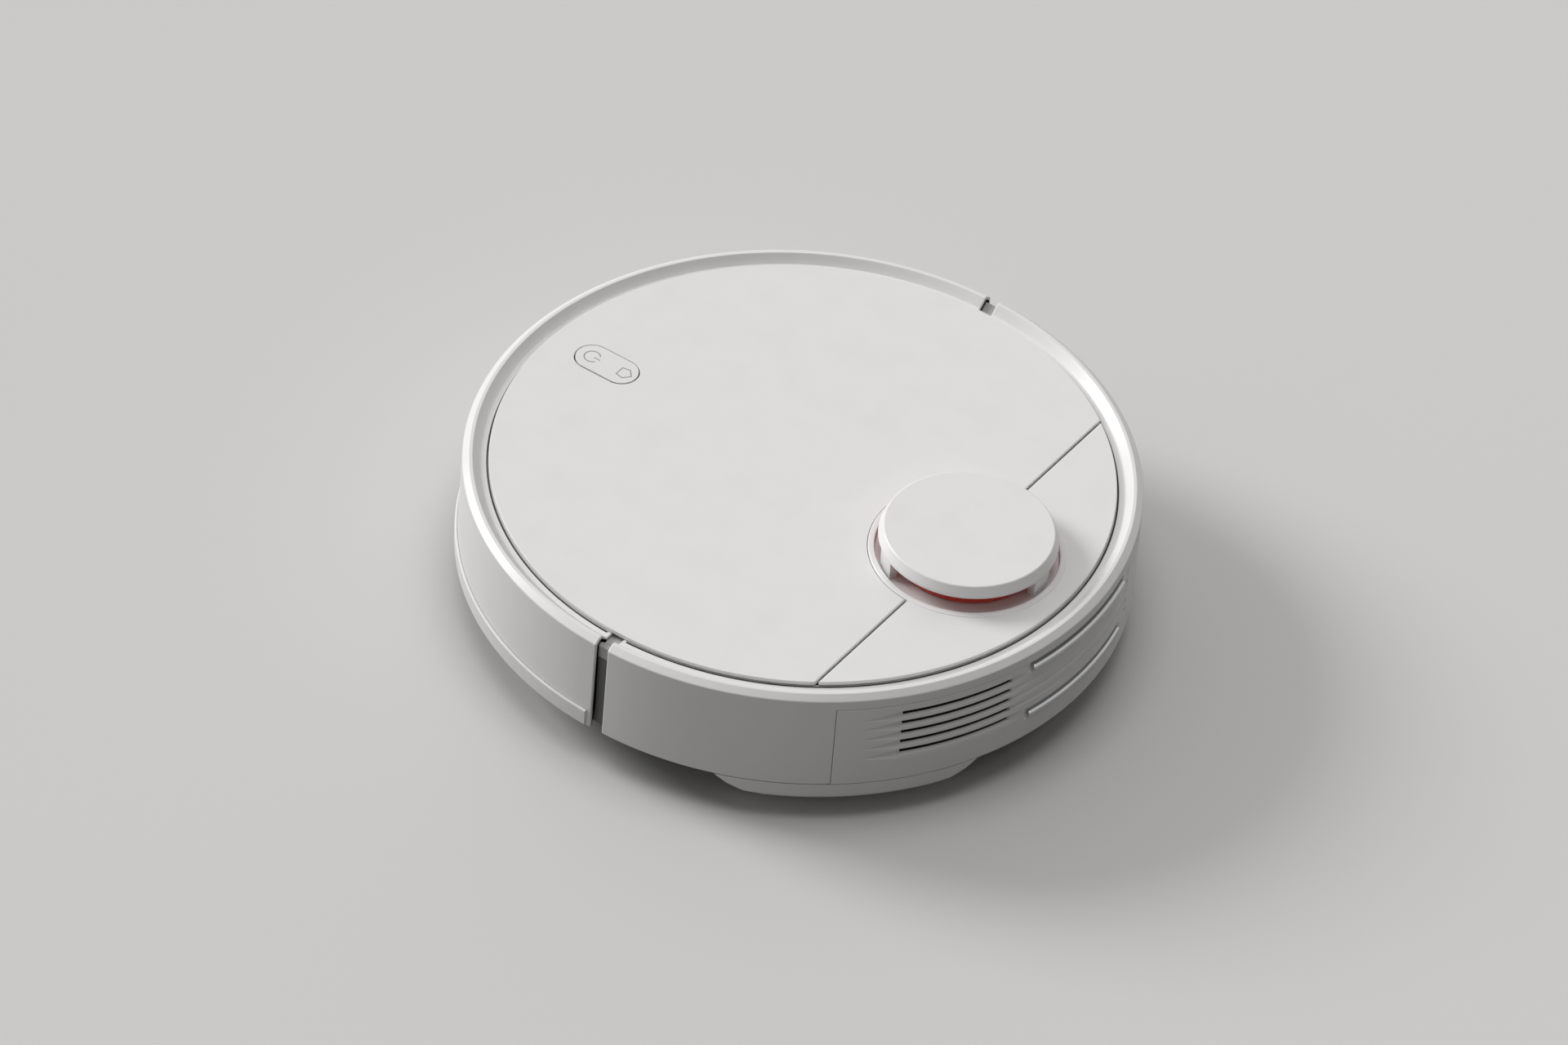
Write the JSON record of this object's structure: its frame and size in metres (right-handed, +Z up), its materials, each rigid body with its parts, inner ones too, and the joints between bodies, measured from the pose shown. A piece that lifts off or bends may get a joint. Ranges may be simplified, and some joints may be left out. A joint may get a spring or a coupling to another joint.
{
  "type": "robot vacuum",
  "caption": "Round robot vacuum with laser turret, hinged lid over a lift-out dust bin, spring bumper, drive wheels, brushes and a clip-on mop.",
  "frame": {"origin": "on the floor under the middle of the round body", "axes": "+X forward towards the bumper, +Y to the robot's left, +Z up"},
  "size_m": [0.35, 0.3498, 0.0945],
  "materials": {
    "base_chassis": "fine textured charcoal",
    "bay_liner": "fine textured charcoal",
    "rear_shell": "satin white",
    "rear_panel": "satin white",
    "charging_contacts": "polished nickel",
    "vent_mesh": "woven filter cloth",
    "rear_deck": "satin white",
    "top_frame": "textured light grey",
    "turret_tray": "satin white",
    "turret_cap": "satin white",
    "lds_base": "moulded black",
    "lds_motor": "drawn steel can",
    "lds_belt": "black rubber",
    "main_board": "solder-masked board",
    "button_board": "solder-masked board",
    "battery": "shrink-wrapped pack",
    "battery_cover": "textured charcoal",
    "fan_housing": "moulded black",
    "fan_motor": "drawn steel can",
    "brush_bearings": "moulded black",
    "brush_guard": "moulded orange",
    "brush_gearbox": "moulded black",
    "side_brush_gearbox": "moulded black",
    "hinge_pins": "ground steel",
    "cliff_windows": "dark infrared window",
    "base_screws": "black zinc",
    "bumper_springs": "spring wire",
    "wheel_spring": "spring wire",
    "lds_head": "orange red",
    "lds_lenses": "dark infrared window",
    "lds_pulley": "turned brass",
    "button_cap": "satin white",
    "fan_impeller": "moulded grey",
    "bin_shell": "smoke clear plastic",
    "bin_cover": "textured grey",
    "bin_filter": "pleated filter paper",
    "bin_flap": "soft rubber",
    "main_brush_core": "moulded grey",
    "main_brush_blades": "soft orange rubber",
    "main_brush_bristles": "nylon bristle",
    "side_brush_hub": "moulded dark grey",
    "side_brush_bristles": "nylon bristle",
    "wheel_arm": "moulded black",
    "tyre": "ribbed rubber",
    "wheel_hub": "moulded grey",
    "caster_fork": "moulded black",
    "caster_axle": "ground steel",
    "caster_wheel": "moulded grey",
    "bumper_shell": "satin white",
    "bumper_strip": "soft white rubber",
    "bumper_lever": "moulded natural nylon",
    "lid": "satin white",
    "mop_tank": "satin white",
    "tank_plug": "soft grey rubber",
    "mop_pad": "looped microfibre"
  },
  "bodies": {
    "chassis": {"base_chassis": "base_chassis", "bay_liner": "bay_liner", "rear_shell": "rear_shell", "rear_panel": "rear_panel", "charging_contacts": "charging_contacts", "vent_mesh": "vent_mesh", "rear_deck": "rear_deck", "top_frame": "top_frame", "turret_tray": "turret_tray", "turret_cap": "turret_cap", "lds_base": "lds_base", "lds_motor": "lds_motor", "lds_belt": "lds_belt", "main_board": "main_board", "button_board": "button_board", "battery": "battery", "battery_cover": "battery_cover", "fan_housing": "fan_housing", "fan_motor": "fan_motor", "brush_bearings": "brush_bearings", "brush_guard": "brush_guard", "brush_gearbox": "brush_gearbox", "side_brush_gearbox": "side_brush_gearbox", "hinge_pins": "hinge_pins", "cliff_windows": "cliff_windows", "base_screws": "base_screws", "bumper_springs": "bumper_springs", "wheel_spring_left": "wheel_spring", "wheel_spring_right": "wheel_spring"},
    "lidar_rotor": {"lds_head": "lds_head", "lds_lenses": "lds_lenses"},
    "lidar_pulley": {"lds_pulley": "lds_pulley"},
    "button": {"button_cap": "button_cap"},
    "fan": {"fan_impeller": "fan_impeller"},
    "bin": {"bin_shell": "bin_shell", "bin_cover": "bin_cover", "bin_filter": "bin_filter"},
    "inlet_flap": {"bin_flap": "bin_flap"},
    "main_brush": {"main_brush_core": "main_brush_core", "main_brush_blades": "main_brush_blades", "main_brush_bristles": "main_brush_bristles"},
    "side_brush": {"side_brush_hub": "side_brush_hub", "side_brush_bristles": "side_brush_bristles"},
    "arm_left": {"wheel_arm_left": "wheel_arm"},
    "arm_right": {"wheel_arm_right": "wheel_arm"},
    "wheel_left": {"tyre_left": "tyre", "wheel_hub_left": "wheel_hub"},
    "wheel_right": {"tyre_right": "tyre", "wheel_hub_right": "wheel_hub"},
    "caster": {"caster_fork": "caster_fork", "caster_axle": "caster_axle"},
    "caster_roller": {"caster_wheel": "caster_wheel"},
    "bumper": {"bumper_shell": "bumper_shell", "bumper_strip": "bumper_strip"},
    "lever_left": {"bumper_lever_left": "bumper_lever"},
    "lever_right": {"bumper_lever_right": "bumper_lever"},
    "lid": {"lid": "lid"},
    "mop": {"mop_tank": "mop_tank", "tank_plug": "tank_plug", "mop_pad": "mop_pad"}
  },
  "joints": [
    {"name": "lid_hinge", "type": "hinge", "parent": "chassis", "child": "lid", "pos_m": [-0.0956, 0, 0.0785], "axis": [0, -1, 0], "range_deg": [0, 80]},
    {"name": "bin_lift", "type": "slide", "parent": "chassis", "child": "bin", "axis": [0, 0, 1], "range_m": [0, 0.0645]},
    {"name": "inlet_flap_swing", "type": "hinge", "parent": "bin", "child": "inlet_flap", "pos_m": [0.0238, 0, 0.0462], "axis": [0, 1, 0], "range_deg": [0, 60]},
    {"name": "bumper_press", "type": "slide", "parent": "chassis", "child": "bumper", "axis": [-1, 0, 0], "range_m": [0, 0.004], "stiffness_N_per_m": 600, "springref_m": -0.003, "deforming": ["bumper_springs"]},
    {"name": "bumper_lever_left_turn", "type": "hinge", "parent": "chassis", "child": "lever_left", "pos_m": [0.1599, 0.0334, 0.044], "axis": [0, 0, -1], "range_deg": [0, 18]},
    {"name": "bumper_lever_right_turn", "type": "hinge", "parent": "chassis", "child": "lever_right", "pos_m": [0.1599, -0.0334, 0.044], "axis": [0, 0, 1], "range_deg": [0, 18]},
    {"name": "button_rock", "type": "hinge", "parent": "chassis", "child": "button", "pos_m": [0.124, 0, 0.076], "axis": [0, 1, 0], "range_deg": [-2.5, 2.5], "stiffness_Nm_per_rad": 0.7},
    {"name": "lidar_spin", "type": "hinge", "parent": "chassis", "child": "lidar_rotor", "pos_m": [-0.1, -0.001, 0.08], "axis": [0, 0, 1], "continuous": true},
    {"name": "lidar_pulley_spin", "type": "hinge", "parent": "chassis", "child": "lidar_pulley", "pos_m": [-0.078, -0.037, 0.07], "axis": [0, 0, 1], "continuous": true},
    {"name": "fan_spin", "type": "hinge", "parent": "chassis", "child": "fan", "pos_m": [-0.094, 0.052, 0.045], "axis": [0, 0, 1], "continuous": true},
    {"name": "main_brush_spin", "type": "hinge", "parent": "chassis", "child": "main_brush", "pos_m": [0.056, 0, 0.0235], "axis": [0, 1, 0], "continuous": true},
    {"name": "side_brush_spin", "type": "hinge", "parent": "chassis", "child": "side_brush", "pos_m": [0.12, -0.1, 0.012], "axis": [0, 0, 1], "continuous": true},
    {"name": "wheel_arm_left_droop", "type": "hinge", "parent": "chassis", "child": "arm_left", "pos_m": [-0.048, 0.09, 0.044], "axis": [0, 1, 0], "range_deg": [0, 30], "stiffness_Nm_per_rad": 0.25, "springref_deg": 57.3, "deforming": ["wheel_spring_left"]},
    {"name": "wheel_arm_right_droop", "type": "hinge", "parent": "chassis", "child": "arm_right", "pos_m": [-0.048, -0.09, 0.044], "axis": [0, 1, 0], "range_deg": [0, 30], "stiffness_Nm_per_rad": 0.25, "springref_deg": 57.3, "deforming": ["wheel_spring_right"]},
    {"name": "wheel_left_spin", "type": "hinge", "parent": "arm_left", "child": "wheel_left", "pos_m": [0, 0.11, 0.034], "axis": [0, 1, 0], "continuous": true},
    {"name": "wheel_right_spin", "type": "hinge", "parent": "arm_right", "child": "wheel_right", "pos_m": [0, -0.11, 0.034], "axis": [0, 1, 0], "continuous": true},
    {"name": "caster_swivel", "type": "hinge", "parent": "chassis", "child": "caster", "pos_m": [0.14, 0, 0.02], "axis": [0, 0, 1], "continuous": true},
    {"name": "caster_roll", "type": "hinge", "parent": "caster", "child": "caster_roller", "pos_m": [0.134, 0, 0.012], "axis": [0, 1, 0], "continuous": true},
    {"name": "mop_release", "type": "slide", "parent": "chassis", "child": "mop", "axis": [-1, 0, 0], "range_m": [0, 0.12]}
  ],
  "couplings": [
    {"joint": "bin_lift", "follows": "lid_hinge", "m_per_rad": 0.046},
    {"joint": "bumper_lever_left_turn", "follows": "bumper_press", "rad_per_m": 74.6},
    {"joint": "bumper_lever_right_turn", "follows": "bumper_press", "rad_per_m": 74.6},
    {"joint": "lidar_pulley_spin", "follows": "lidar_spin", "ratio": 9.6667}
  ]
}
